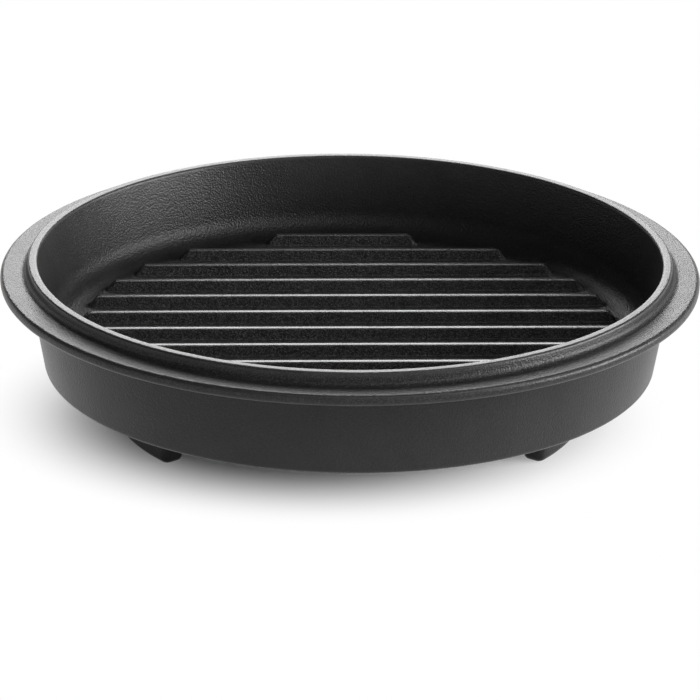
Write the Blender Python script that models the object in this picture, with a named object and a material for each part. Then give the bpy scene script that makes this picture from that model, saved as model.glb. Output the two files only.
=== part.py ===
"""Grill-pan lid of a round dutch oven, standing on its two grips.

One black iron casting carries twelve ribs, a lip that drops into the pot and a flange that rests
on the pot's rim. Two arc-shaped grips are screwed under it. They are the handles when it is a lid
and the feet when it is a pan. Metres, +Z up, origin on the ground under the middle, ribs along X.
"""
import math

import bmesh
import bpy

MM = 0.001

# Gap between pieces that touch, depth to which joined shapes sink in, and offset of faces that cross
CLEARANCE = 0.3 * MM
EMBED = 1.0 * MM
SKIM = 0.02 * MM
MERGE_DISTANCE = 0.001 * MM
SHARP_ANGLE = math.radians(35.0)

# Lip and flange, which meet the pot
LIP_INNER_RADIUS = 134.0 * MM
LIP_WIDTH = 4.0 * MM
LIP_HEIGHT = 5.4 * MM
LIP_DRAFT = math.radians(8.0)
LIP_EDGE_RADIUS = 1.1 * MM
LIP_ROOT_RADIUS = 2.8 * MM
FLANGE_RADIUS = 150.0 * MM
FLANGE_THICKNESS = 4.7 * MM
FLANGE_EDGE_RADIUS = 1.8 * MM
FLANGE_DRAFT = math.radians(3.0)

# Wall, floor and base of the casting
CASTING_HEIGHT = 46.5 * MM
WALL_DRAFT = math.radians(9.65)
WALL_THICKNESS = 5.3 * MM
FLOOR_THICKNESS = 5.2 * MM
FLOOR_FILLET = 10.7 * MM
SHOULDER_FILLET = 2.0 * MM
BASE_LAND = 5.4 * MM
BASE_EDGE_RADIUS = 1.4 * MM
RECESS_DRAFT = math.radians(6.0)
RECESS_FILLET = 3.5 * MM

# Ribs, whose crests end on the field's circle, as many as it holds on either side of its middle
CREST_DEPTH = 29.3 * MM
RIB_HEIGHT = 4.7 * MM
RIB_PITCH = 19.85 * MM
RIB_CREST_WIDTH = 2.8 * MM
RIB_FLANK_DRAFT = math.radians(14.0)
RIB_EDGE_RADIUS = 0.7 * MM
RIB_ROOT_RADIUS = 1.2 * MM
RIB_FIELD_RADIUS = 113.3 * MM
RIB_SHORTEST_CREST = 24.0 * MM
RIB_END_DRAFT = math.radians(40.0)
RIB_END_EDGE_RADIUS = 3.0 * MM
RIB_REACH = math.sqrt(RIB_FIELD_RADIUS ** 2 - (RIB_SHORTEST_CREST / 2.0) ** 2)
RIB_COUNT = 2 * int(RIB_REACH / RIB_PITCH + 0.5)

# Grips
STAND_HEIGHT = 23.8 * MM
GRIP_OUTER_RADIUS = 102.0 * MM
GRIP_THICKNESS = 9.8 * MM
GRIP_SPAN = math.radians(79.0)
GRIP_DRAFT = math.radians(3.0)
GRIP_CORNER_RADIUS = 3.2 * MM
GRIP_EDGE_RADIUS = 2.2 * MM
EAR_ANGLE = math.radians(25.0)
EAR_TOOL_ROOM = 1.2 * MM
EAR_RADIUS = 8.5 * MM
EAR_THICKNESS = 7.0 * MM
SEAT_HEIGHT = 4.1 * MM
SEAT_MARGIN = 0.9 * MM
SEAT_DRAFT = math.radians(10.0)

# Screws and lock washers
SCREW_RADIUS = 3.0 * MM
SCREW_LENGTH = 16.0 * MM
SCREW_HEAD_RADIUS = 5.25 * MM
SCREW_HEAD_HEIGHT = 3.3 * MM
SCREW_HEAD_EDGE = 2.2 * MM
SCREW_TIP_CHAMFER = 0.6 * MM
SOCKET_ACROSS_FLATS = 4.0 * MM
SOCKET_DEPTH = 2.0 * MM
WASHER_RADIUS = 5.9 * MM
WASHER_THICKNESS = 1.6 * MM
WASHER_SPLIT = 1.2 * MM
WASHER_SPLIT_LEAN = math.radians(25.0)

# Fineness of the facets
CASTING_STEPS = 88
FLOOR_FILLET_STEPS = 7
CORNER_STEPS = 4
EDGE_STEPS = 3
HIDDEN_EDGE_STEPS = 2
GRIP_STEPS = 18
SCREW_STEPS = 20
WASHER_STEPS = 24

# Heights that follow from the sizes above
GRIP_FOOT_Z = 0.0
BASE_Z = GRIP_FOOT_Z + STAND_HEIGHT
TOP_Z = BASE_Z + CASTING_HEIGHT
FLANGE_TOP_Z = TOP_Z - LIP_HEIGHT
FLANGE_BOTTOM_Z = FLANGE_TOP_Z - FLANGE_THICKNESS
CREST_Z = TOP_Z - CREST_DEPTH
FLOOR_Z = CREST_Z - RIB_HEIGHT
CEILING_Z = FLOOR_Z - FLOOR_THICKNESS
SEAT_Z = CEILING_Z - SEAT_HEIGHT
GRIP_TOP_Z = SEAT_Z - CLEARANCE
EAR_BOTTOM_Z = GRIP_TOP_Z - EAR_THICKNESS
WASHER_TOP_Z = EAR_BOTTOM_Z - CLEARANCE
HEAD_TOP_Z = WASHER_TOP_Z - WASHER_THICKNESS - CLEARANCE
HEAD_BOTTOM_Z = HEAD_TOP_Z - SCREW_HEAD_HEIGHT
SCREW_TIP_Z = HEAD_TOP_Z + SCREW_LENGTH
HOLE_RADIUS = SCREW_RADIUS + CLEARANCE
HOLE_END_Z = SCREW_TIP_Z + 2.0 * CLEARANCE

# Radii that follow from the sizes above
GRIP_INNER_RADIUS = GRIP_OUTER_RADIUS - GRIP_THICKNESS
GRIP_MID_RADIUS = GRIP_OUTER_RADIUS - GRIP_THICKNESS / 2.0
GRIP_ROOT_GROWTH = (GRIP_TOP_Z - GRIP_FOOT_Z) * math.tan(GRIP_DRAFT)
EAR_RADIAL_PLACE = GRIP_INNER_RADIUS - GRIP_ROOT_GROWTH - WASHER_RADIUS - EAR_TOOL_ROOM
FASTENER_PLACES = {
    "right_front": -EAR_ANGLE,
    "right_back": EAR_ANGLE,
    "left_back": math.pi - EAR_ANGLE,
    "left_front": math.pi + EAR_ANGLE,
}


def wall_inner_radius(z):
    """Radius of the pan's drafted inner wall at height z."""
    return LIP_INNER_RADIUS - (TOP_Z - z) * math.tan(WALL_DRAFT)


def wall_outer_radius(z):
    """Radius of the outer wall, which runs parallel to the inner one."""
    return wall_inner_radius(z) + WALL_THICKNESS / math.cos(WALL_DRAFT)


def clear_scene():
    """Remove every object that the file opened with."""
    for obj in list(bpy.data.objects):
        bpy.data.objects.remove(obj, do_unlink=True)


def make_material(name, color, roughness, metallic):
    """Principled material of one colour, roughness and metallic value."""
    material = bpy.data.materials.new(name)
    material.use_nodes = True
    shader = material.node_tree.nodes["Principled BSDF"]
    shader.inputs["Base Color"].default_value = (*color, 1.0)
    shader.inputs["Roughness"].default_value = roughness
    shader.inputs["Metallic"].default_value = metallic
    return material


def add_object(name, bm, material=None):
    """Turn a bmesh into a named object with smooth round faces and outward normals."""
    bmesh.ops.recalc_face_normals(bm, faces=bm.faces)
    mesh = bpy.data.meshes.new(name)
    bm.to_mesh(mesh)
    bm.free()
    mesh.shade_smooth()
    mesh.set_sharp_from_angle(angle=SHARP_ANGLE)
    obj = bpy.data.objects.new(name, mesh)
    bpy.context.scene.collection.objects.link(obj)
    if material is not None:
        mesh.materials.append(material)
    return obj


def make_guide(obj):
    """Mark an object as a shape that is only joined to or cut from another."""
    obj.hide_render = True
    obj.display_type = "WIRE"
    return obj


def combine(target, tool, operation):
    """Join, cut or intersect the target with a guide."""
    modifier = target.modifiers.new(f"{operation.lower()} {tool.name}", "BOOLEAN")
    modifier.operation = operation
    modifier.object = tool


def rounded_path(corners):
    """Open path through corners (u, v, radius, steps), with an arc at each corner that has a radius."""
    path = []
    last = len(corners) - 1
    for index, (u, v, radius, steps) in enumerate(corners):
        if index in (0, last) or radius <= 0.0:
            path.append((u, v))
            continue
        before = corners[index - 1]
        after = corners[index + 1]
        in_length = math.hypot(before[0] - u, before[1] - v)
        out_length = math.hypot(after[0] - u, after[1] - v)
        in_u, in_v = (before[0] - u) / in_length, (before[1] - v) / in_length
        out_u, out_v = (after[0] - u) / out_length, (after[1] - v) / out_length
        half = math.acos(max(-1.0, min(1.0, in_u * out_u + in_v * out_v))) / 2.0
        reach = radius / math.tan(half)
        bisector_u, bisector_v = in_u + out_u, in_v + out_v
        bisector = math.hypot(bisector_u, bisector_v)
        centre_u = u + bisector_u / bisector * radius / math.sin(half)
        centre_v = v + bisector_v / bisector * radius / math.sin(half)
        start = math.atan2(v + in_v * reach - centre_v, u + in_u * reach - centre_u)
        end = math.atan2(v + out_v * reach - centre_v, u + out_u * reach - centre_u)
        turn = (end - start + math.pi) % (2.0 * math.pi) - math.pi
        for step in range(steps + 1):
            angle = start + turn * step / steps
            path.append((centre_u + radius * math.cos(angle), centre_v + radius * math.sin(angle)))
    return path


def turned_body(path, steps):
    """Closed body turned about Z from an open path of (radius, height), flat at both of its ends."""
    bm = bmesh.new()
    verts = [bm.verts.new((radius, 0.0, z)) for radius, z in path]
    edges = [bm.edges.new(pair) for pair in zip(verts, verts[1:])]
    bmesh.ops.spin(bm, geom=verts + edges, cent=(0.0, 0.0, 0.0), axis=(0.0, 0.0, 1.0),
                   angle=2.0 * math.pi, steps=steps, use_duplicate=False)
    bmesh.ops.remove_doubles(bm, verts=bm.verts, dist=MERGE_DISTANCE)
    rims = [edge for edge in bm.edges if edge.is_boundary]
    bmesh.ops.holes_fill(bm, edges=rims, sides=0)
    return bm


def lofted_body(loops):
    """Closed body through loops of (x, y, z) points, one above the other, flat at both ends."""
    bm = bmesh.new()
    rings = [[bm.verts.new(point) for point in loop] for loop in loops]
    count = len(rings[0])
    for lower, upper in zip(rings, rings[1:]):
        for index in range(count):
            following = (index + 1) % count
            bm.faces.new((lower[index], lower[following], upper[following], upper[index]))
    bm.faces.new(list(reversed(rings[0])))
    bm.faces.new(rings[-1])
    return bm


def arc_outline(offset):
    """Plan of a grip about +X: an arc band with round corners, grown on every side by offset.

    Each corner holds both ends of its arc, so the bands between them hold only their inner points.
    """
    rounding = GRIP_CORNER_RADIUS + offset
    outer = GRIP_OUTER_RADIUS - GRIP_CORNER_RADIUS
    inner = GRIP_INNER_RADIUS + GRIP_CORNER_RADIUS
    half = GRIP_SPAN / 2.0 - GRIP_CORNER_RADIUS / GRIP_MID_RADIUS
    points = []
    for step in range(1, GRIP_STEPS):
        angle = -half + 2.0 * half * step / GRIP_STEPS
        points.append(((outer + rounding) * math.cos(angle), (outer + rounding) * math.sin(angle)))
    points += corner_arc(outer, half, 0.0, rounding)
    points += corner_arc(inner, half, 0.5 * math.pi, rounding)
    for step in range(1, GRIP_STEPS):
        angle = half - 2.0 * half * step / GRIP_STEPS
        points.append(((inner - rounding) * math.cos(angle), (inner - rounding) * math.sin(angle)))
    points += corner_arc(inner, -half, math.pi, rounding)
    points += corner_arc(outer, -half, 1.5 * math.pi, rounding)
    return points


def corner_arc(radius, angle, start, rounding):
    """Points of a quarter turn round the place (radius, angle), from start past that place's own angle."""
    centre_x, centre_y = radius * math.cos(angle), radius * math.sin(angle)
    points = []
    for step in range(CORNER_STEPS + 1):
        turn = angle + start + math.pi / 2.0 * step / CORNER_STEPS
        points.append((centre_x + rounding * math.cos(turn), centre_y + rounding * math.sin(turn)))
    return points


def ear_outline(angle, offset):
    """Plan of an ear: a half round that points at the middle, with sides running into the grip."""
    reach = GRIP_MID_RADIUS - EAR_RADIAL_PLACE
    radius = EAR_RADIUS + offset
    points = [(reach, -radius), (reach, radius)]
    for step in range(3 * CORNER_STEPS + 1):
        turn = math.pi / 2.0 + math.pi * step / (3 * CORNER_STEPS)
        points.append((radius * math.cos(turn), radius * math.sin(turn)))
    return [(math.cos(angle) * (EAR_RADIAL_PLACE + x) - math.sin(angle) * y,
             math.sin(angle) * (EAR_RADIAL_PLACE + x) + math.cos(angle) * y) for x, y in points]


def drafted_body(outline, foot_z, top_z, draft, edge_radius):
    """Body that widens upwards by its draft, from a foot with a round edge or, at radius 0, a sharp one.

    outline is a function that gives the plan for an offset, with the same number of points each time.
    """
    levels = [(0.0, -edge_radius)]
    if edge_radius > 0.0:
        for step in range(1, CORNER_STEPS + 1):
            turn = math.pi / 2.0 * step / CORNER_STEPS
            levels.append((edge_radius * (1.0 - math.cos(turn)), -edge_radius * (1.0 - math.sin(turn))))
    levels.append((top_z - foot_z, 0.0))
    loops = []
    for rise, offset in levels:
        plan = outline(offset + rise * math.tan(draft))
        loops.append([(x, y, foot_z + rise) for x, y in plan])
    return lofted_body(loops)


def rod_body(radius, foot_z, top_z):
    """Plain upright rod about Z, used as a drill."""
    return turned_body([(radius, foot_z), (radius, top_z)], SCREW_STEPS)


def place(obj, radius, angle):
    """Move an object that was made about Z to its place round the casting."""
    obj.location = (radius * math.cos(angle), radius * math.sin(angle), 0.0)
    obj.rotation_euler = (0.0, 0.0, angle)
    return obj


def casting_path():
    """Section of the casting from the floor, over the lip and flange, to the ceiling of the recess."""
    lip_outer = LIP_INNER_RADIUS + LIP_WIDTH
    lip_root = lip_outer + LIP_HEIGHT * math.tan(LIP_DRAFT)
    flange_foot = FLANGE_RADIUS - FLANGE_THICKNESS * math.tan(FLANGE_DRAFT)
    base_inner = wall_outer_radius(BASE_Z) - BASE_LAND
    recess_top = base_inner - (CEILING_Z - BASE_Z) * math.tan(RECESS_DRAFT)
    corners = [
        (0.0, FLOOR_Z, 0.0, 0),
        (wall_inner_radius(FLOOR_Z), FLOOR_Z, FLOOR_FILLET, FLOOR_FILLET_STEPS),
        (LIP_INNER_RADIUS, TOP_Z, LIP_EDGE_RADIUS, EDGE_STEPS),
        (lip_outer, TOP_Z, LIP_EDGE_RADIUS, EDGE_STEPS),
        (lip_root, FLANGE_TOP_Z, LIP_ROOT_RADIUS, EDGE_STEPS),
        (FLANGE_RADIUS, FLANGE_TOP_Z, FLANGE_EDGE_RADIUS, EDGE_STEPS),
        (flange_foot, FLANGE_BOTTOM_Z, FLANGE_EDGE_RADIUS, HIDDEN_EDGE_STEPS),
        (wall_outer_radius(FLANGE_BOTTOM_Z), FLANGE_BOTTOM_Z, SHOULDER_FILLET, HIDDEN_EDGE_STEPS),
        (wall_outer_radius(BASE_Z), BASE_Z, BASE_EDGE_RADIUS, EDGE_STEPS),
        (base_inner, BASE_Z, BASE_EDGE_RADIUS, HIDDEN_EDGE_STEPS),
        (recess_top, CEILING_Z, RECESS_FILLET, EDGE_STEPS),
        (0.0, CEILING_Z, 0.0, 0),
    ]
    return rounded_path(corners)[1:-1]


def rib_profile(half_crest, draft, edge_radius, edge_steps, spare):
    """Section of a rib, across or along it: (distance from its middle, height), round at crest and root.

    spare keeps its flat stretches outside those of a profile that is drawn without it.
    """
    root_z = FLOOR_Z - SKIM - spare
    half_root = half_crest + RIB_HEIGHT * math.tan(draft)
    half_foot = half_root + RIB_ROOT_RADIUS
    side = [
        (half_foot, FLOOR_Z - EMBED - spare, 0.0, 0),
        (half_foot, root_z, 0.0, 0),
        (half_root, root_z, RIB_ROOT_RADIUS, EDGE_STEPS),
        (half_crest, CREST_Z + spare, edge_radius, edge_steps),
        (0.0, CREST_Z + spare, 0.0, 0),
    ]
    right = rounded_path(side)[:-1]
    return right + [(-distance, z) for distance, z in reversed(right)]


def add_prism(bm, points, sweep):
    """Add a closed prism: the face through the points, swept along a vector."""
    face = bm.faces.new([bm.verts.new(point) for point in points])
    swept = bmesh.ops.extrude_face_region(bm, geom=[face])
    moved = [item for item in swept["geom"] if isinstance(item, bmesh.types.BMVert)]
    bmesh.ops.translate(bm, verts=moved, vec=sweep)


def make_ribs():
    """All ribs as one guide: bars along X, each cut to its length by a profile with drafted ends."""
    bars = bmesh.new()
    lengths = bmesh.new()
    across = rib_profile(RIB_CREST_WIDTH / 2.0, RIB_FLANK_DRAFT, RIB_EDGE_RADIUS, CORNER_STEPS, 0.0)
    half_cut = across[0][0] + EMBED
    for index in range(RIB_COUNT):
        middle_y = (index - (RIB_COUNT - 1) / 2.0) * RIB_PITCH
        half_crest = math.sqrt(RIB_FIELD_RADIUS ** 2 - middle_y ** 2)
        along = rib_profile(half_crest, RIB_END_DRAFT, RIB_END_EDGE_RADIUS, CORNER_STEPS, SKIM)
        half_bar = along[0][0] + EMBED
        add_prism(bars, [(-half_bar, middle_y + y, z) for y, z in across], (2.0 * half_bar, 0.0, 0.0))
        add_prism(lengths, [(x, middle_y - half_cut, z) for x, z in along], (0.0, 2.0 * half_cut, 0.0))
    ribs = make_guide(add_object("rib_bars", bars))
    combine(ribs, make_guide(add_object("rib_lengths", lengths)), "INTERSECT")
    return ribs


def seat_guides():
    """Raised seats under the floor, one arc and two ear pads to a grip, as guides."""
    guides = []
    margin = SEAT_MARGIN + GRIP_ROOT_GROWTH
    for side, facing in (("right", 0.0), ("left", math.pi)):
        bm = drafted_body(lambda offset: arc_outline(margin + offset),
                          SEAT_Z, CEILING_Z + EMBED, SEAT_DRAFT, 0.0)
        seat = place(add_object(f"seat_{side}", bm), 0.0, facing)
        for name, angle in (("low", -EAR_ANGLE), ("high", EAR_ANGLE)):
            pad = drafted_body(lambda offset, turn=angle: ear_outline(turn, SEAT_MARGIN + offset),
                               SEAT_Z, CEILING_Z + EMBED, SEAT_DRAFT, 0.0)
            ear_pad = place(add_object(f"ear_pad_{side}_{name}", pad), 0.0, facing)
            combine(seat, make_guide(ear_pad), "UNION")
        guides.append(make_guide(seat))
    return guides


def make_casting(material):
    """The lid: turned body with ribs above, grip seats below and a blind hole for each screw."""
    casting = add_object("grill_lid", turned_body(casting_path(), CASTING_STEPS), material)
    combine(casting, make_ribs(), "UNION")
    for seat in seat_guides():
        combine(casting, seat, "UNION")
    for name, angle in FASTENER_PLACES.items():
        drill = add_object(f"drill_{name}", rod_body(HOLE_RADIUS, SEAT_Z - EMBED, HOLE_END_Z))
        combine(casting, make_guide(place(drill, EAR_RADIAL_PLACE, angle)), "DIFFERENCE")


def make_grips(material):
    """Two grips that share one shape: an arc-shaped wall with two ears on its inner side."""
    bm = drafted_body(arc_outline, GRIP_FOOT_Z, GRIP_TOP_Z, GRIP_DRAFT, GRIP_EDGE_RADIUS)
    right = add_object("grip_right", bm, material)
    left = bpy.data.objects.new("grip_left", right.data)
    bpy.context.scene.collection.objects.link(left)
    left.rotation_euler = (0.0, 0.0, math.pi)
    for side, grip, facing in (("right", right, 0.0), ("left", left, math.pi)):
        for name, angle in (("low", -EAR_ANGLE), ("high", EAR_ANGLE)):
            body = drafted_body(lambda offset, turn=angle: ear_outline(turn, offset),
                                EAR_BOTTOM_Z, GRIP_TOP_Z, GRIP_DRAFT, GRIP_EDGE_RADIUS / 2.0)
            ear = place(add_object(f"ear_{side}_{name}", body), 0.0, facing)
            combine(grip, make_guide(ear), "UNION")
        for name, angle in (("low", -EAR_ANGLE), ("high", EAR_ANGLE)):
            body = rod_body(HOLE_RADIUS, EAR_BOTTOM_Z - EMBED, GRIP_TOP_Z + EMBED)
            drill = place(add_object(f"ear_drill_{side}_{name}", body), EAR_RADIAL_PLACE, facing + angle)
            combine(grip, make_guide(drill), "DIFFERENCE")


def screw_path():
    """Section of a screw from the middle of its head, down on the path, to the tip of its shank."""
    return rounded_path([
        (0.0, HEAD_BOTTOM_Z, 0.0, 0),
        (SCREW_HEAD_RADIUS, HEAD_BOTTOM_Z, SCREW_HEAD_EDGE, CORNER_STEPS),
        (SCREW_HEAD_RADIUS, HEAD_TOP_Z, 0.0, 0),
        (SCREW_RADIUS, HEAD_TOP_Z, 0.0, 0),
        (SCREW_RADIUS, SCREW_TIP_Z - SCREW_TIP_CHAMFER, 0.0, 0),
        (SCREW_RADIUS - SCREW_TIP_CHAMFER, SCREW_TIP_Z, 0.0, 0),
        (0.0, SCREW_TIP_Z, 0.0, 0),
    ])[1:-1]


def socket_body():
    """Hexagonal plunger that cuts the socket into a screw's head from below."""
    corner = SOCKET_ACROSS_FLATS / math.sqrt(3.0)
    turns = [math.pi / 3.0 * side for side in range(6)]
    return lofted_body([[(corner * math.cos(turn), corner * math.sin(turn), z) for turn in turns]
                        for z in (HEAD_BOTTOM_Z - EMBED, HEAD_BOTTOM_Z + SOCKET_DEPTH)])


def make_screws(material):
    """Button-head screws, heads down, with a hexagon socket; the thread is left plain."""
    for name, angle in FASTENER_PLACES.items():
        screw = add_object(f"grip_screw_{name}", turned_body(screw_path(), SCREW_STEPS), material)
        socket = add_object(f"socket_{name}", socket_body())
        combine(screw, make_guide(place(socket, EAR_RADIAL_PLACE, angle)), "DIFFERENCE")
        place(screw, EAR_RADIAL_PLACE, angle)


def washer_body():
    """Split lock washer: a flat ring swept nearly full circle, its two ends leaning across the gap."""
    bm = bmesh.new()
    gap = WASHER_SPLIT / WASHER_RADIUS
    low_z = WASHER_TOP_Z - WASHER_THICKNESS
    lean = WASHER_THICKNESS * math.tan(WASHER_SPLIT_LEAN) / WASHER_RADIUS
    section = [
        (HOLE_RADIUS, low_z, 0.0),
        (WASHER_RADIUS, low_z, 0.0),
        (WASHER_RADIUS, WASHER_TOP_Z, lean),
        (HOLE_RADIUS, WASHER_TOP_Z, lean),
    ]
    rings = []
    for step in range(WASHER_STEPS + 1):
        turn = gap / 2.0 + (2.0 * math.pi - gap) * step / WASHER_STEPS
        rings.append([bm.verts.new((radius * math.cos(turn + shift), radius * math.sin(turn + shift), z))
                      for radius, z, shift in section])
    for near, far in zip(rings, rings[1:]):
        for index in range(len(section)):
            following = (index + 1) % len(section)
            bm.faces.new((near[index], near[following], far[following], far[index]))
    bm.faces.new(list(reversed(rings[0])))
    bm.faces.new(rings[-1])
    return bm


def make_washers(material):
    """A split lock washer between each screw head and its ear."""
    for name, angle in FASTENER_PLACES.items():
        washer = add_object(f"lock_washer_{name}", washer_body(), material)
        place(washer, EAR_RADIAL_PLACE, angle)


def main():
    """Build every piece of the lid."""
    clear_scene()
    lid_enamel = make_material("lid_enamel", (0.035, 0.034, 0.034), 0.45, 0.0)
    grip_enamel = make_material("grip_enamel", (0.02, 0.02, 0.021), 0.4, 0.0)
    steel = make_material("screw_steel", (0.55, 0.54, 0.52), 0.35, 1.0)
    spring_steel = make_material("washer_steel", (0.42, 0.41, 0.4), 0.4, 1.0)
    make_casting(lid_enamel)
    make_grips(grip_enamel)
    make_screws(steel)
    make_washers(spring_steel)


main()
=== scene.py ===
"""Looks of the dutch oven's grill-pan lid: an enamelled iron casting that stands on two grips.

Every shape is a surface worked out with numpy in metres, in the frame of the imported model: +Z up,
the ribs along X, the origin on the ground under the middle of the lid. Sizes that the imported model
fixes are read from it, and the others repeat the maker's sizes.
"""
from __future__ import annotations

import logging
import math
from dataclasses import dataclass, field
from enum import Enum
from typing import Any

import bmesh
import bpy
import numpy as np
from mathutils import Matrix, Vector
from mathutils.geometry import delaunay_2d_cdt

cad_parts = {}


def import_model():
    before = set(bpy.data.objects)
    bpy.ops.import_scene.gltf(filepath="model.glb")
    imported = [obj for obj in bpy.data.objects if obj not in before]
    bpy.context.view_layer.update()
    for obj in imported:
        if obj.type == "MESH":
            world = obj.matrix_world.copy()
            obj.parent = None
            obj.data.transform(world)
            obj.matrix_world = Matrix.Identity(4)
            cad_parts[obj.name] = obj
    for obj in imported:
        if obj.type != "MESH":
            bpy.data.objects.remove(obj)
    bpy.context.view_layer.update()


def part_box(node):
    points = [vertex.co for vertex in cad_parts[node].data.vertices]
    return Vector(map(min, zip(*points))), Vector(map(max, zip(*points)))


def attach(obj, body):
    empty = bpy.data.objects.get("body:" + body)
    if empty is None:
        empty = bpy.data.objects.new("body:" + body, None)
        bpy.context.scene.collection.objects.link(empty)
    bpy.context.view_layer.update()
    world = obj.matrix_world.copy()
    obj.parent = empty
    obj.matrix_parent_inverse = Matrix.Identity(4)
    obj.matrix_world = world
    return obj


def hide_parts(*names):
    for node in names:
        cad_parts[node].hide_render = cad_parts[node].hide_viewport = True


LOG = logging.getLogger("grill_lid")
MM = 0.001
FULL_TURN = 2.0 * math.pi
QUARTER_TURN = 0.5 * math.pi
ROOT_BODY = "root"
CAST_CREASE = math.radians(48.0)
STEEL_CREASE = math.radians(38.0)
EDGE_LANDING = 0.4 * MM
TINY = 1e-12
Color = tuple[float, float, float, float]


class Place(Enum):
    """The four places where a screw holds a grip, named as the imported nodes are."""

    RIGHT_FRONT = "right_front"
    RIGHT_BACK = "right_back"
    LEFT_BACK = "left_back"
    LEFT_FRONT = "left_front"


class Side(Enum):
    """The two grips, with the direction that each one faces."""

    RIGHT = 0.0
    LEFT = math.pi


# Sections and outlines


@dataclass(frozen=True)
class Corner:
    """A corner of a section, in distance from the axis and height, with the radius that rounds it."""

    across: float
    height: float
    radius: float = 0.0
    steps: int = 5


def rounded_section(corners: list[Corner], support: float) -> np.ndarray:
    """Carry a section through its corners, with round corners and flat stretches that shade flat.

    A corner of radius R gives way to the arc that touches both of its sides: its centre lies
    R / sin(half the corner's angle) along the bisector, and the arc turns evenly from side to side.
    On each stretch between two arcs a point stands a short way from either end.

    Args:
        corners: The corners in order; the first and the last are kept as they are.
        support: Distance of the extra points from the arcs, at most a third of the stretch.

    Returns:
        Points (distance from the axis, height) in order.
    """
    spots = np.array([(corner.across, corner.height) for corner in corners])
    arcs = [spots[:1]]
    for index in range(1, len(corners) - 1):
        corner = corners[index]
        here = spots[index]
        if corner.radius <= 0.0:
            arcs.append(here[None, :])
            continue
        inward = (spots[index - 1] - here) / np.linalg.norm(spots[index - 1] - here)
        outward = (spots[index + 1] - here) / np.linalg.norm(spots[index + 1] - here)
        half = math.acos(float(np.clip(inward @ outward, -1.0, 1.0))) / 2.0
        bisector = (inward + outward) / np.linalg.norm(inward + outward)
        centre = here + bisector * corner.radius / math.sin(half)
        first = here + inward * corner.radius / math.tan(half) - centre
        final = here + outward * corner.radius / math.tan(half) - centre
        start = math.atan2(first[1], first[0])
        turn = (math.atan2(final[1], final[0]) - start + math.pi) % FULL_TURN - math.pi
        angles = start + turn * np.linspace(0.0, 1.0, corner.steps + 1)
        arcs.append(centre + corner.radius * np.stack([np.cos(angles), np.sin(angles)], axis=1))
    arcs.append(spots[-1:])
    path = [arcs[0]]
    for before, after in zip(arcs, arcs[1:]):
        stretch = after[0] - before[-1]
        length = float(np.linalg.norm(stretch))
        offset = stretch * min(support / length, 1.0 / 3.0)
        path.append(np.stack([before[-1] + offset, after[0] - offset]))
        path.append(after)
    return np.concatenate(path)


def arc_points(radius: float, start: float, end: float, steps: int) -> np.ndarray:
    """Points (x, y) on a circle round the origin, from the angle start to end, both ends included."""
    angles = np.linspace(start, end, steps + 1)
    return radius * np.stack([np.cos(angles), np.sin(angles)], axis=1)


def edge_levels(radius: float, height: float, draft: float, steps: int = 5) -> np.ndarray:
    """Rise and outward offset of the levels of a drafted wall whose foot has a round edge.

    The foot's edge is a quarter circle, and the whole wall leans outwards by the draft:
    offset = quarter circle's offset + rise times the draft's tangent.

    Args:
        radius: Radius of the foot's edge.
        height: Height of the wall.
        draft: Angle of the wall off the vertical.
        steps: Steps in the quarter circle.

    Returns:
        One row (rise, offset) for each level, from the foot to the top.
    """
    turn = np.linspace(0.0, QUARTER_TURN, steps + 1)
    rise = np.append(radius * (1.0 - np.cos(turn)), [radius + EDGE_LANDING, height])
    offset = np.append(-radius * (1.0 - np.sin(turn)), [0.0, 0.0])
    return np.stack([rise, offset + rise * math.tan(draft)], axis=1)


def turned(points: np.ndarray, angle: float) -> np.ndarray:
    """Turn points about the vertical axis.

    Args:
        points: Points (..., x, y) or (..., x, y, z).
        angle: Angle of the turn.

    Returns:
        The turned points.
    """
    cosine, sine = math.cos(angle), math.sin(angle)
    result = points.copy()
    result[..., 0] = cosine * points[..., 0] - sine * points[..., 1]
    result[..., 1] = sine * points[..., 0] + cosine * points[..., 1]
    return result


def raised(outline: np.ndarray, height: float) -> np.ndarray:
    """A plan outline (x, y) lifted to a height, as points (x, y, z)."""
    return np.column_stack([outline, np.full(len(outline), height)])


# Meshes


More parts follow.
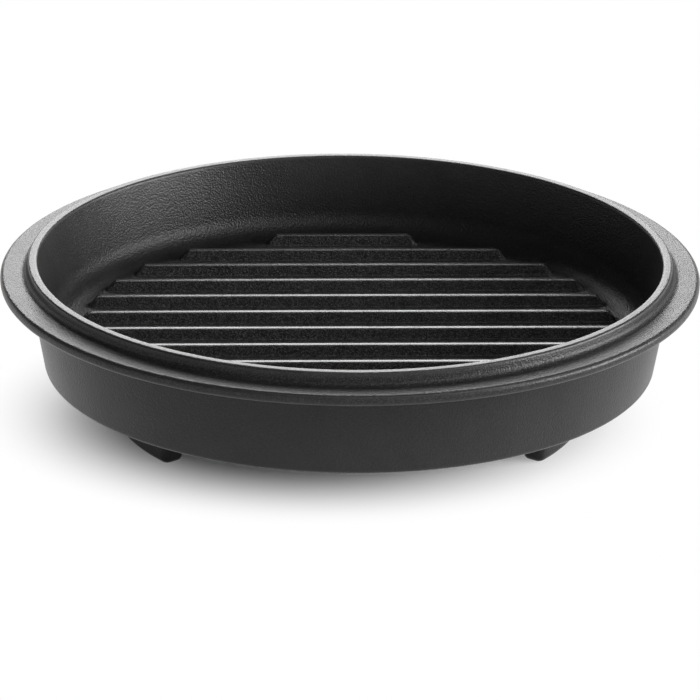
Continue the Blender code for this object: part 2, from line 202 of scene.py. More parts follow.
class Shell:
    """The points and faces of one closed piece, gathered as whole arrays."""

    def __init__(self) -> None:
        """Start an empty shell."""
        self.points: list[np.ndarray] = []
        self.faces: list[np.ndarray] = []
        self.count = 0

    def add_points(self, points: np.ndarray) -> np.ndarray:
        """Add points.

        Args:
            points: Array (..., 3).

        Returns:
            Their indices, with the same leading shape.
        """
        flat = points.reshape(-1, 3)
        self.points.append(flat)
        index = np.arange(self.count, self.count + len(flat)).reshape(points.shape[:-1])
        self.count += len(flat)
        return index

    def add_grid(self, index: np.ndarray, closed: bool = True) -> None:
        """Lay four-sided faces over a grid of indices.

        Args:
            index: Grid of point indices, one row for each level.
            closed: True where each row runs round and meets itself.
        """
        if closed:
            index = np.concatenate([index, index[:, :1]], axis=1)
        near, far = index[:-1], index[1:]
        quads = np.stack([near[:, :-1], near[:, 1:], far[:, 1:], far[:, :-1]], axis=-1)
        self.faces.append(quads.reshape(-1, 4))

    def add_fan(self, ring: np.ndarray, centre: np.ndarray) -> None:
        """Close a ring with triangles that meet in one new point.

        Args:
            ring: Indices round the ring.
            centre: The new point.
        """
        tip = self.add_points(centre[None, :])
        following = np.roll(ring, -1)
        self.faces.append(np.stack([ring, following, np.broadcast_to(tip, ring.shape)], axis=1))

    def add_hole(self, outline: np.ndarray, low: float, high: float) -> np.ndarray:
        """Add the wall of an upright hole.

        Args:
            outline: Plan of the hole.
            low: Height of its lower end.
            high: Height of its upper end.

        Returns:
            Indices of the lower and the upper loop.
        """
        index = self.add_points(np.stack([raised(outline, low), raised(outline, high)]))
        self.add_grid(index)
        return index

    def all_points(self) -> np.ndarray:
        """Every point of the shell in one array."""
        return np.concatenate(self.points)

    def fill(self, outline: np.ndarray, holes: list[np.ndarray]) -> None:
        """Fill a level outline with triangles, leaving its holes open.

        The triangles come from a Delaunay net held to the outlines, which also covers what lies
        outside a hollow outline. One is kept where its middle lies on the surface: a ray from the
        middle along +X crosses the outer loop and the holes an odd number of times in all.

        Args:
            outline: Indices of the outer loop.
            holes: Index loops of the openings.
        """
        index = np.concatenate([outline, *holes])
        plan = self.all_points()[index][:, :2]
        sizes = [len(outline), *[len(hole) for hole in holes]]
        loops = [list(range(end - size, end)) for end, size in zip(np.cumsum(sizes).tolist(), sizes)]
        spots = [Vector(point) for point in (plan * (1.0 / MM)).tolist()]
        net = delaunay_2d_cdt(spots, [], loops, 1, 1e-5, True)
        corners = np.array(net[2])
        origin = np.array([sources[0] for sources in net[3]])
        triangles = origin[corners]
        middles = plan[triangles].mean(axis=1)
        inside = np.zeros(len(triangles), dtype=bool)
        for loop in loops:
            start = plan[loop]
            end = np.roll(start, -1, axis=0)
            above = (start[None, :, 1] > middles[:, None, 1]) != (end[None, :, 1] > middles[:, None, 1])
            drop = np.where(np.abs(end[:, 1] - start[:, 1]) < TINY, TINY, end[:, 1] - start[:, 1])
            share = (middles[:, None, 1] - start[None, :, 1]) / drop[None, :]
            crossing = start[None, :, 0] + share * (end - start)[None, :, 0]
            inside ^= (above & (crossing > middles[:, None, 0])).sum(axis=1) % 2 == 1
        self.faces.append(index[triangles[inside]])

    def build(self, name: str, sharp: float) -> bpy.types.Object:
        """Make the shell a piece with outward faces and smooth shading.

        Args:
            name: Name of the piece.
            sharp: Angle between faces beyond which their edge is drawn sharp.

        Returns:
            The new object, linked to the scene at the origin.
        """
        points = self.all_points()
        corners = np.concatenate([faces.ravel() for faces in self.faces])
        sizes = np.concatenate([np.full(len(faces), faces.shape[1]) for faces in self.faces])
        mesh = bpy.data.meshes.new(name)
        mesh.vertices.add(len(points))
        mesh.vertices.foreach_set("co", points.astype(np.float32).ravel())
        mesh.loops.add(len(corners))
        mesh.loops.foreach_set("vertex_index", corners.astype(np.int32))
        mesh.polygons.add(len(sizes))
        mesh.polygons.foreach_set("loop_start", (np.cumsum(sizes) - sizes).astype(np.int32))
        mesh.update(calc_edges=True)
        shape = bmesh.new()
        shape.from_mesh(mesh)
        bmesh.ops.recalc_face_normals(shape, faces=shape.faces)
        shape.to_mesh(mesh)
        shape.free()
        mesh.shade_smooth()
        mesh.set_sharp_from_angle(angle=sharp)
        piece = bpy.data.objects.new(name, mesh)
        bpy.context.scene.collection.objects.link(piece)
        LOG.info("%s: %d points, %d faces", name, len(points), len(sizes))
        return piece


def point_array(piece: bpy.types.Object) -> np.ndarray:
    """Read a piece's points.

    Args:
        piece: The piece.

    Returns:
        Array (points, 3).
    """
    points = np.empty(len(piece.data.vertices) * 3, dtype=np.float32)
    piece.data.vertices.foreach_get("co", points)
    return points.reshape(-1, 3)


def paint(piece: bpy.types.Object, name: str, values: np.ndarray) -> None:
    """Store one number for each point of a piece, for its material to read."""
    layer = piece.data.attributes.new(name, "FLOAT", "POINT")
    layer.data.foreach_set("value", values.astype(np.float32))


# Finishes


class Value:
    """A shader socket that takes part in Python arithmetic, each step of which adds a Math node."""

    def __init__(self, maker: Nodes, socket: Any) -> None:
        """Wrap a socket of the maker's node tree."""
        self.maker = maker
        self.socket = socket

    def math(self, operation: str, *others: Value | float) -> Value:
        """Apply one Math operation to this value and others."""
        values = {place: other for place, other in enumerate((self, *others))}
        return self.maker.node("ShaderNodeMath", {"operation": operation}, values)

    def __add__(self, other: Value | float) -> Value:
        """Sum."""
        return self.math("ADD", other)

    def __sub__(self, other: Value | float) -> Value:
        """Difference."""
        return self.math("SUBTRACT", other)

    def __mul__(self, other: Value | float) -> Value:
        """Product."""
        return self.math("MULTIPLY", other)

    def __rsub__(self, other: float) -> Value:
        """A number less this value."""
        return self.maker.node("ShaderNodeMath", {"operation": "SUBTRACT"}, {0: other, 1: self})

    __radd__ = __add__
    __rmul__ = __mul__

    def limited(self, low: float, high: float, kind: str = "LINEAR") -> Value:
        """Ramp from 0 at low to 1 at high, flat beyond them."""
        values = {"Value": self, "From Min": low, "From Max": high}
        return self.maker.node("ShaderNodeMapRange", {"clamp": True, "interpolation_type": kind}, values)


class Nodes:
    """Adds nodes to one node tree."""

    def __init__(self, tree: bpy.types.NodeTree) -> None:
        """Work on a tree."""
        self.tree = tree

    def link(self, value: Value | float | tuple, socket: Any) -> None:
        """Feed a socket.

        Args:
            value: A wrapped value to link, or a plain one to set.
            socket: The socket.
        """
        if isinstance(value, Value):
            self.tree.links.new(value.socket, socket)
        else:
            socket.default_value = value

    def node(self, kind: str, settings: dict[str, Any], values: dict[Any, Any],
             output: str | int = 0) -> Value:
        """Add a node.

        Args:
            kind: The node's type.
            settings: Its properties, set before anything is linked.
            values: A value or link for each named or numbered socket.
            output: The output that is wanted.

        Returns:
            The wrapped output.
        """
        made = self.tree.nodes.new(kind)
        for setting, value in settings.items():
            setattr(made, setting, value)
        for place, value in values.items():
            self.link(value, made.inputs[place])
        return Value(self, made.outputs[output])

    def spot(self) -> Value:
        """The place on the object, in metres."""
        return self.node("ShaderNodeTexCoord", {}, {}, "Object")


class Finisher(Nodes):
    """Builds the nodes of one material."""

    def __init__(self, name: str) -> None:
        """Start a material with a Principled surface.

        Args:
            name: Name of the material.
        """
        self.material = bpy.data.materials.new(name)
        self.material.use_nodes = True
        super().__init__(self.material.node_tree)
        self.surface = self.tree.nodes["Principled BSDF"]

    def grain(self, size: float, detail: float, roughness: float = 0.55, seed: float = 0.0) -> Value:
        """Cloudy noise.

        Args:
            size: Size of its features.
            detail: Number of finer layers.
            roughness: Strength of each finer layer beside the one before.
            seed: Number that sets this noise apart from others.

        Returns:
            The noise, about 0 to 1.
        """
        settings = {"noise_dimensions": "4D"}
        return self.node("ShaderNodeTexNoise", settings, {
            "Vector": self.spot(), "W": seed, "Scale": 1.0 / size, "Detail": detail, "Roughness": roughness})

    def pebbles(self, size: float) -> Value:
        """Rounded pebbles about one size apart: 0 in their middles, 1 between them."""
        values = {"Vector": self.spot(), "Scale": 1.0 / size, "Smoothness": 0.6}
        return self.node("ShaderNodeTexVoronoi", {"feature": "SMOOTH_F1"}, values, "Distance")

    def attribute(self, name: str) -> Value:
        """A number that is stored on the piece's points."""
        return self.node("ShaderNodeAttribute", {"attribute_name": name}, {}, "Fac")

    def blend(self, share: Value, low: tuple, high: tuple) -> Value:
        """Mix of two colours by a share."""
        return self.node("ShaderNodeMix", {"data_type": "RGBA"}, {0: share, 6: low, 7: high}, 2)

    def dress(self, color: Value, roughness: Value, height: Value, relief: float,
              metallic: float = 0.0) -> None:
        """Feed the surface.

        Args:
            color: Base colour.
            roughness: Roughness.
            height: Height of the fine relief, 0 to 1.
            relief: Real height, in metres, that a height of 1 stands for.
            metallic: 1 for bare metal.
        """
        shape = {"Strength": 1.0, "Distance": relief, "Height": height}
        bump = self.node("ShaderNodeBump", {}, shape, "Normal")
        self.link(color, self.surface.inputs["Base Color"])
        self.link(roughness, self.surface.inputs["Roughness"])
        self.link(bump, self.surface.inputs["Normal"])
        self.surface.inputs["Metallic"].default_value = metallic


@dataclass(frozen=True)
class EnamelFinish:
    """Black enamel on cast iron: a pebbled skin over slightly uneven iron, rubbed smooth and lighter on its
    edges and rib crests, where the lighter colour also paints a highlight, with light specks painted as the
    grain's sparkle.
    """

    name: str
    dark: Color = (0.0066, 0.0065, 0.0066, 1.0)
    light: Color = (0.0165, 0.0163, 0.0162, 1.0)
    # Lighter colour of rubbed enamel; on the rib crests it also paints part of the crest lines' highlight.
    rubbed_and_highlit: Color = (0.05, 0.0495, 0.049, 1.0)
    # Colour of the light specks that paint the sparkle of the pebbled grain.
    sparkle_color: Color = (0.094, 0.0924, 0.0912, 1.0)
    polish: float = 0.28
    dullness: float = 0.40
    rubbed_polish: float = 0.20
    outside_dullness: float = 0.02
    pebble: float = 0.8 * MM
    skin: float = 0.5 * MM
    speck: float = 0.42 * MM
    cloud: float = 14.0 * MM
    relief_inside: float = 0.34 * MM
    relief_outside: float = 0.22 * MM
    relief_left: float = 0.15
    wear_range: tuple[float, float] = (0.3, 0.6)
    shade_range: tuple[float, float] = (0.25, 0.85)
    speck_range: tuple[float, float] = (0.47, 0.68)
    reflection: float = 0.255

    def material(self) -> bpy.types.Material:
        """Build the enamel.

        The relief is pebbles with finer grain on them, deeper where the piece's inside value is 1
        and rubbed down where its wear-and-highlight value is 1; there the colour is lighter, partly
        rubbed enamel and partly a painted highlight that brightens the ribs' crest lines. Hollows
        between the pebbles and broad clouds are duller and a little lighter, and light specks,
        painted as the grain's sparkle, show where its painted-sparkle value is up to 1.

        Returns:
            The material.
        """
        finisher = Finisher(self.name)
        pebbles = finisher.pebbles(self.pebble)
        skin = finisher.grain(self.skin, 1.0)
        clouds = finisher.grain(self.cloud, 4.0, 0.6, 3.0)
        inside = finisher.attribute("inside")
        wear_and_highlight = finisher.attribute("wear_and_highlight") * (0.6 + clouds.limited(*self.wear_range) * 0.4)
        height = (1.0 - pebbles) * 0.6 + skin * 0.4
        depth = inside * ((self.relief_inside - self.relief_outside) / MM) + self.relief_outside / MM
        left = 1.0 - wear_and_highlight * (1.0 - self.relief_left)
        shade = (clouds * 0.5 + pebbles * 0.35 + skin * 0.3).limited(*self.shade_range)
        roughness = self.polish + shade * (self.dullness - self.polish)
        roughness = roughness + (1.0 - inside) * self.outside_dullness
        roughness = roughness + wear_and_highlight * (self.rubbed_polish - roughness)
        # Light specks painted into the colour as the grain's sparkle, full where the painted-sparkle value
        # is 1.
        specks = finisher.grain(self.speck, 1.0, 0.5, 7.0).limited(*self.speck_range)
        specks = specks * finisher.attribute("painted_sparkle")
        color = finisher.blend(specks, finisher.blend(shade, self.dark, self.light), self.sparkle_color)
        # Rubbed places take the lighter colour: real wear, and on the crests a painted highlight as well.
        color = finisher.blend(wear_and_highlight, color, self.rubbed_and_highlit)
        finisher.link(self.reflection, finisher.surface.inputs["Specular IOR Level"])
        finisher.dress(color, roughness, height * depth * left, MM)
        return finisher.material


@dataclass(frozen=True)
class SteelFinish:
    """Plain bare steel, finely scratched, with a few duller stains."""

    name: str
    bright: Color
    dull: Color
    roughness: float
    cloud: float = 2.4 * MM
    scratch: float = 0.18 * MM
    relief: float = 0.01 * MM

    def material(self) -> bpy.types.Material:
        """Build the steel: fine scratches and a few cloudy stains over bare metal.

        Returns:
            The material.
        """
        finisher = Finisher(self.name)
        clouds = finisher.grain(self.cloud, 4.0)
        scratches = finisher.grain(self.scratch, 2.0, 0.6, 5.0)
        color = finisher.blend(clouds.limited(0.35, 0.65), self.bright, self.dull)
        roughness = self.roughness + clouds * 0.12 + scratches * 0.08
        finisher.dress(color, roughness, scratches, self.relief, 1.0)
        return finisher.material


# The casting


@dataclass
class Ribs:
    """The parallel ribs on the pan's floor, each with drafted ends of its own."""

    floor_z: float
    crest_z: float
    count: int = 12
    pitch: float = 19.85 * MM
    crest_width: float = 2.8 * MM
    flank_draft: float = math.radians(14.0)
    edge_radius: float = 0.7 * MM
    root_radius: float = 0.5 * MM
    run_out: float = 2.5 * MM
    field_radius: float = 113.3 * MM
    end_draft: float = math.radians(40.0)
    end_edge_radius: float = 3.0 * MM
    end_zone: float = 5.0 * MM
    end_margin: float = 4.7 * MM
    support: float = 0.25 * MM
    row_step: float = 0.6 * MM
    middle_columns: int = 11
    cap_share: float = 0.7

    @property
    def middles(self) -> np.ndarray:
        """Places of the ribs' middles across the floor."""
        return (np.arange(self.count) - (self.count - 1) / 2.0) * self.pitch

    @property
    def across(self) -> np.ndarray:
        """Half a rib's cross section: distance from its middle and height."""
        return self.side_section(self.crest_width / 2.0, self.flank_draft, self.edge_radius)

    @property
    def along(self) -> np.ndarray:
        """Section of a rib's end: distance from where the end's zone starts and height."""
        return self.side_section(self.end_zone, self.end_draft, self.end_edge_radius)

    def side_section(self, half_width: float, draft: float, edge_radius: float) -> np.ndarray:
        """Section from a flat crest over its round edge and its side to the floor.

        Args:
            half_width: Distance from the section's start to the crest's edge.
            draft: Angle of the side off the vertical.
            edge_radius: Radius of the crest's edge.

        Returns:
            Rows (distance, height).
        """
        root = half_width + (self.crest_z - self.floor_z) * math.tan(draft)
        return rounded_section([
            Corner(0.0, self.crest_z),
            Corner(half_width, self.crest_z, edge_radius, 4),
            Corner(root, self.floor_z, self.root_radius, 2),
            Corner(root + self.run_out, self.floor_z),
        ], self.support)

    def half_lengths(self, y: np.ndarray) -> np.ndarray:
        """Half the crest's length at places y.

        At a rib, its square is the field's radius squared less the square of the rib's place.
        From one rib's foot to the next one's it changes evenly.

        Args:
            y: Places across the ribs.

        Returns:
            Half the length at each place.
        """
        foot = self.across[-1, 0]
        knots = self.middles[:, None] + np.array([-foot, foot])
        ends = np.sqrt(self.field_radius ** 2 - self.middles ** 2)
        return np.interp(y, knots.ravel(), np.repeat(ends, 2))

    def height(self, x: np.ndarray, y: np.ndarray) -> np.ndarray:
        """Height of the floor at places (x, y).

        It is the lower of two sections: that of an endless rib, read at the distance from the
        nearest rib's middle, and that of a rib's end, read at the distance past its zone's start.

        Args:
            x: Places along the ribs.
            y: Places across the ribs.

        Returns:
            The height at each place.
        """
        across, along = self.across, self.along
        step = y / self.pitch
        from_middle = np.abs(step - np.floor(step) - 0.5) * self.pitch
        from_zone = np.abs(x) - self.half_lengths(y) + self.end_zone
        return np.minimum(np.interp(from_middle, across[:, 0], across[:, 1]),
                          np.interp(from_zone, along[:, 0], along[:, 1]))

    def lines(self, rim: float) -> np.ndarray:
        """Places across the ribs, where a rib's section bends, and even ones beyond the last rib.

        Args:
            rim: Radius of the ribbed floor.

        Returns:
            The places in order.
        """
        bends = self.across[1:-1, 0]
        middles = self.middles
        inner = np.concatenate([(middles[:, None] + np.concatenate([-bends, [0.0], bends])).ravel(),
                                middles[:-1] + self.pitch / 2.0])
        beyond = np.arange(middles[-1] - self.pitch / 4.0, rim - self.row_step / 2.0, self.row_step)
        clear = np.abs(beyond[:, None] - inner[None, :]).min(axis=1) > self.row_step / 2.0
        return np.sort(np.concatenate([-beyond[clear], inner, beyond[clear]]))

    def grid(self, rim: float) -> np.ndarray:
        """Points of the ribbed floor inside the rim's circle.

        Each row runs along X from rim to rim. Its columns stand evenly up to the zone of the
        rib's end, then where the end's section bends, squeezed where the rim comes near. The
        first and last row lie on the rim itself.

        Args:
            rim: Radius at which the floor meets the rest of the casting.

        Returns:
            Points as an array (rows, columns, 3).
        """
        y = self.lines(rim)
        reach = np.sqrt(rim ** 2 - y ** 2)
        crest = np.minimum(self.half_lengths(y), reach - self.end_margin)
        zone = np.maximum(crest - self.end_zone, 0.5 * reach)
        bends = self.along[:-1, 0]
        scale = np.minimum(1.0, (reach - zone) / (bends[-1] + self.support))
        ends = np.concatenate([zone[:, None] + scale[:, None] * bends, reach[:, None]], axis=1)
        middle = zone[:, None] * np.linspace(-1.0, 1.0, self.middle_columns + 2)[None, 1:-1]
        x = np.concatenate([-ends[:, ::-1], middle, ends], axis=1)
        cap_x = x[[0, -1]] * self.cap_share
        cap_y = np.sqrt(rim ** 2 - cap_x ** 2) * np.array([[-1.0], [1.0]])
        x = np.concatenate([cap_x[:1], x, cap_x[1:]])
        rows = np.concatenate([cap_y[:1], np.broadcast_to(y[:, None], (len(y), x.shape[1])), cap_y[1:]])
        return np.stack([x, rows, self.height(x, rows)], axis=-1)


@dataclass
class GripPlan:
    """Plan of a grip about +X: an arc band with round corners and two ears on its inner side."""

    outer_radius: float = 102.0 * MM
    thickness: float = 9.8 * MM
    span: float = math.radians(79.0)
    corner_radius: float = 3.2 * MM
    ear_angle: float = math.radians(25.0)
    ear_radius: float = 8.5 * MM
    ear_place: float = 83.7 * MM
    hole_radius: float = 3.3 * MM
    draft: float = math.radians(3.0)

    def pieces(self, offset: float, ear_offset: float) -> list[np.ndarray]:
        """The plan's stretches, all grown outwards.

        The inner side meets an ear's straight side at the angle whose sine is the ear's half width
        over the inner radius. An ear is a half circle round its screw, with straight sides.

        Args:
            offset: Growth of the band.
            ear_offset: Growth of the ears.

        Returns:
            Outer stretch with its corners, span beside the high ear, stretch between the ears,
            span beside the low ear, last stretch, high ear, low ear.
        """
        rounding = self.corner_radius + offset
        outer = self.outer_radius - self.corner_radius
        inner = self.outer_radius - self.thickness + self.corner_radius
        middle = self.outer_radius - self.thickness / 2.0
        half = self.span / 2.0 - self.corner_radius / middle
        face = inner - rounding
        width = self.ear_radius + ear_offset
        lean = math.asin(width / face)
        quarter = np.linspace(0.0, QUARTER_TURN, 7)

        def corner(radius: float, angle: float, start: float) -> np.ndarray:
            """A quarter turn round the end of an arc.

            Args:
                radius: Radius of the arc on which the turn's centre lies.
                angle: Angle at which the arc ends.
                start: Angle from there at which the turn starts.

            Returns:
                Points (x, y).
            """
            turn = angle + start + quarter
            centre = radius * np.array([math.cos(angle), math.sin(angle)])
            return centre + rounding * np.stack([np.cos(turn), np.sin(turn)], axis=1)

        def ear(angle: float) -> np.ndarray:
            """The ear at an angle, from its high side round to its low side."""
            round_end = arc_points(width, QUARTER_TURN, 3.0 * QUARTER_TURN, 24)
            return turned(round_end + np.array([self.ear_place, 0.0]), angle)

        high, low = self.ear_angle, -self.ear_angle
        first = np.concatenate([
            arc_points(self.outer_radius + offset, -half, half, 64)[1:-1],
            corner(outer, half, 0.0),
            corner(inner, half, QUARTER_TURN),
            arc_points(face, half, high + lean, 10)[1:],
        ])
        last = np.concatenate([
            arc_points(face, low - lean, -half, 10)[:-1],
            corner(inner, -half, 2.0 * QUARTER_TURN),
            corner(outer, -half, 3.0 * QUARTER_TURN),
        ])
        return [
            first,
            arc_points(face, high + lean, high - lean, 12)[1:-1],
            arc_points(face, high - lean, low + lean, 24),
            arc_points(face, low + lean, low - lean, 12)[1:-1],
            last,
            ear(high),
            ear(low),
        ]

    def with_ears(self, offset: float, ear_offset: float) -> np.ndarray:
        """The whole outline, ears included."""
        first, _, between, _, last, high, low = self.pieces(offset, ear_offset)
        return np.concatenate([first, high, between, low, last])

    def hole(self, angle: float, facing: float) -> np.ndarray:
        """Plan of a screw hole in the ear at an angle, for a grip that faces a direction."""
        ring = arc_points(self.hole_radius, 0.0, FULL_TURN, 32)[:-1] + np.array([self.ear_place, 0.0])
        return turned(ring, angle + facing)


@dataclass
class Stack:
    """Heights of the pieces that sit on one another under the floor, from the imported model."""

    foot_z: float
    grip_top_z: float
    head_bottom_z: float
    screw_tip_z: float
    washer_low_z: float
    washer_top_z: float
    casting_low_z: float
    casting_top_z: float
    gap: float = 0.3 * MM

    @property
    def seat_z(self) -> float:
        """Height of the seats that the grips are drawn against."""
        return self.grip_top_z + self.gap

    @property
    def ear_bottom_z(self) -> float:
        """Height of the ears' undersides."""
        return self.washer_top_z + self.gap

    @property
    def hole_end_z(self) -> float:
        """Height at which the blind holes end."""
        return self.screw_tip_z + 2.0 * self.gap


def read_stack() -> Stack:
    """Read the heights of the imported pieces.

    Returns:
        The lowest and highest point of a grip, a screw, a washer and the casting.
    """
    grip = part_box("grip_right")
    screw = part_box("grip_screw_right_front")
    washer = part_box("lock_washer_right_front")
    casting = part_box("grill_lid")
    return Stack(*[corner.z for box in (grip, screw, washer, casting) for corner in box])


@dataclass
class LidCasting:
    """The iron lid: ribbed pan, lip, flange, wall and base, with the grips' seats under the floor."""

    stack: Stack
    plan: GripPlan
    lip_inner_radius: float = 134.0 * MM
    lip_width: float = 4.0 * MM
    lip_height: float = 5.4 * MM
    lip_draft: float = math.radians(8.0)
    lip_edge_radius: float = 1.1 * MM
    lip_root_radius: float = 2.8 * MM
    flange_radius: float = 150.0 * MM
    flange_thickness: float = 4.7 * MM
    flange_edge_radius: float = 1.8 * MM
    flange_draft: float = math.radians(3.0)
    wall_draft: float = math.radians(9.65)
    wall_thickness: float = 5.3 * MM
    floor_thickness: float = 5.2 * MM
    floor_fillet: float = 10.7 * MM
    shoulder_fillet: float = 2.0 * MM
    base_land: float = 5.4 * MM
    base_edge_radius: float = 1.4 * MM
    recess_draft: float = math.radians(6.0)
    recess_fillet: float = 3.5 * MM
    crest_depth: float = 29.3 * MM
    rib_height: float = 4.7 * MM
    seat_margin: float = 0.9 * MM
    seat_draft: float = math.radians(10.0)
    seat_edge_radius: float = 0.7 * MM
    rib_reach: float = 116.0 * MM
    # Depth of the crests' band that is rubbed lighter, which also paints the crest lines' highlight.
    crest_wear_and_highlight: float = 0.25 * MM
    # Strength of the painted sparkle specks on the brim and on the other outer faces.
    brim_sparkle: float = 0.45
    wall_sparkle: float = 0.12
    edge_wear: float = 0.6
    edge_width: float = 1.4 * MM
    skin_depth: float = 0.1 * MM
    lip_fade: tuple[float, float] = (0.5 * MM, 1.5 * MM)
    support: float = 0.4 * MM

    @property
    def top_z(self) -> float:
        """Height of the lip's top."""
        return self.stack.casting_top_z

    @property
    def floor_z(self) -> float:
        """Height of the floor between the ribs."""
        return self.top_z - self.crest_depth - self.rib_height

    @property
    def ceiling_z(self) -> float:
        """Height of the recess's ceiling under the floor."""
        return self.floor_z - self.floor_thickness

    def inner_radius(self, height: float) -> float:
        """Radius of the pan's drafted wall at a height."""
        return self.lip_inner_radius - (self.top_z - height) * math.tan(self.wall_draft)

    def outer_radius(self, height: float) -> float:
        """Radius of the outer wall, parallel to the inner one."""
        return self.inner_radius(height) + self.wall_thickness / math.cos(self.wall_draft)

    def edges(self) -> np.ndarray:
        """The outer edges that hands and cloths rub.

        Returns:
            Rows (radius, height).
        """
        flange_top = self.top_z - self.lip_height
        return np.array([
            (self.lip_inner_radius, self.top_z),
            (self.lip_inner_radius + self.lip_width, self.top_z),
            (self.flange_radius, flange_top),
            (self.flange_radius, flange_top - self.flange_thickness),
            (self.outer_radius(self.stack.casting_low_z), self.stack.casting_low_z),
        ])

    def section(self) -> np.ndarray:
        """Section from the flat floor's edge over the lip, flange and base to the recess's ceiling.

        Returns:
            Rows (distance from the axis, height).
        """
        base_z = self.stack.casting_low_z
        flange_top = self.top_z - self.lip_height
        flange_bottom = flange_top - self.flange_thickness
        lip_outer = self.lip_inner_radius + self.lip_width
        lip_root = lip_outer + self.lip_height * math.tan(self.lip_draft)
        base_inner = self.outer_radius(base_z) - self.base_land
        recess_top = base_inner - (self.ceiling_z - base_z) * math.tan(self.recess_draft)
        flange_foot = self.flange_radius - self.flange_thickness * math.tan(self.flange_draft)
        path = rounded_section([
            Corner(0.0, self.floor_z),
            Corner(self.inner_radius(self.floor_z), self.floor_z, self.floor_fillet, 11),
            Corner(self.lip_inner_radius, self.top_z, self.lip_edge_radius, 5),
            Corner(lip_outer, self.top_z, self.lip_edge_radius, 5),
            Corner(lip_root, flange_top, self.lip_root_radius, 6),
            Corner(self.flange_radius, flange_top, self.flange_edge_radius, 7),
            Corner(flange_foot, flange_bottom, self.flange_edge_radius, 6),
            Corner(self.outer_radius(flange_bottom), flange_bottom, self.shoulder_fillet, 5),
            Corner(self.outer_radius(base_z), base_z, self.base_edge_radius, 6),
            Corner(base_inner, base_z, self.base_edge_radius, 4),
            Corner(recess_top, self.ceiling_z, self.recess_fillet, 5),
            Corner(0.0, self.ceiling_z),
        ], self.support)
        # The flat floor and ceiling are made apart, so their first and last points fall away.
        return path[2:-2]

    def shell(self) -> Shell:
        """The whole casting as one closed shell.

        The ribbed floor's outline is a ring of points on one circle. The section is turned about
        the axis through the same angles, so that floor and wall share that ring.

        Returns:
            The shell.
        """
        shell = Shell()
        section = self.section()
        ribs = Ribs(self.floor_z, self.top_z - self.crest_depth)
        floor = shell.add_points(ribs.grid(float(section[0, 0])))
        shell.add_grid(floor, closed=False)
        ring = np.concatenate([floor[0], floor[1:-1, -1], floor[-1, ::-1], floor[-2:0:-1, 0]])
        around = shell.all_points()[ring]
        directions = around[:, :2] / np.hypot(around[:, 0], around[:, 1])[:, None]
        turn = section[1:, None, 0:1] * directions[None, :, :]
        heights = np.broadcast_to(section[1:, None, 1:2], turn.shape[:2] + (1,))
        levels = shell.add_points(np.concatenate([turn, heights], axis=-1))
        shell.add_grid(np.concatenate([ring[None, :], levels], axis=0))
        shell.fill(levels[-1], [self.add_seat(shell, side.value) for side in Side])
        return shell

    def add_seat(self, shell: Shell, facing: float) -> np.ndarray:
        """Add one grip's raised seat with its two blind holes.

        Args:
            shell: The casting's shell.
            facing: Direction that the grip faces.

        Returns:
            Indices of the seat's loop at the ceiling.
        """
        growth = (self.stack.grip_top_z - self.stack.foot_z) * math.tan(self.plan.draft)
        height = self.ceiling_z - self.stack.seat_z
        loops = []
        for rise, offset in edge_levels(self.seat_edge_radius, height, self.seat_draft, 4):
            outline = self.plan.with_ears(self.seat_margin + growth + offset, self.seat_margin + offset)
            loops.append(raised(turned(outline, facing), self.stack.seat_z + rise))
        index = shell.add_points(np.stack(loops))
        shell.add_grid(index)
        mouths = []
        for angle in (self.plan.ear_angle, -self.plan.ear_angle):
            walls = shell.add_hole(self.plan.hole(angle, facing), self.stack.seat_z, self.stack.hole_end_z)
            shell.fill(walls[-1], [])
            mouths.append(walls[0])
        shell.fill(index[0], mouths)
        return index[-1]

    def make(self) -> bpy.types.Object:
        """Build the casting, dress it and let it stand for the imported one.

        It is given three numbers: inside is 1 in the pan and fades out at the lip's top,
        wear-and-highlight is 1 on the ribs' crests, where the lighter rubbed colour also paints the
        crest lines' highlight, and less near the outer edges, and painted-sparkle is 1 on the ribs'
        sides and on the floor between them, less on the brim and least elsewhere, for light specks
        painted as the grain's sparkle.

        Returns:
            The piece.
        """
        piece = self.shell().build("lid_casting", CAST_CREASE)
        points = point_array(piece)
        radius, height = np.hypot(points[:, 0], points[:, 1]), points[:, 2]
        pan = (radius < self.lip_inner_radius) & (height > self.floor_z - self.skin_depth)
        fade_start, fade_length = self.lip_fade
        depth = np.clip((self.top_z - fade_start - height) / fade_length, 0.0, 1.0)
        paint(piece, "inside", np.where(pan, depth, 0.0))
        crest_z = self.top_z - self.crest_depth
        # The crests' band takes the lighter rubbed colour, which also paints a highlight along the crest
        # lines.
        crest = pan & (radius < self.rib_reach) & (height > crest_z - self.crest_wear_and_highlight)
        edges = self.edges()
        from_edge = np.hypot(radius[:, None] - edges[:, 0], height[:, None] - edges[:, 1]).min(axis=1)
        rubbed_and_highlit = self.edge_wear * np.clip(1.5 - from_edge / self.edge_width, 0.0, 1.0)
        paint(piece, "wear_and_highlight", np.where(crest, 1.0, rubbed_and_highlit))
        # Light specks painted as the grain's sparkle: full on the ribs' sides and the floor between them,
        # less on the brim, least elsewhere.
        flange_bottom = self.top_z - self.lip_height - self.flange_thickness
        brim = (radius > self.lip_inner_radius) & (height > flange_bottom)
        sides = pan & (radius < self.rib_reach) & ~crest
        paint(piece, "painted_sparkle", np.where(sides, 1.0, np.where(brim, self.brim_sparkle, self.wall_sparkle)))
        piece.data.materials.append(EnamelFinish("lid_enamel").material())
        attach(piece, ROOT_BODY)
        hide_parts("grill_lid")
        return piece


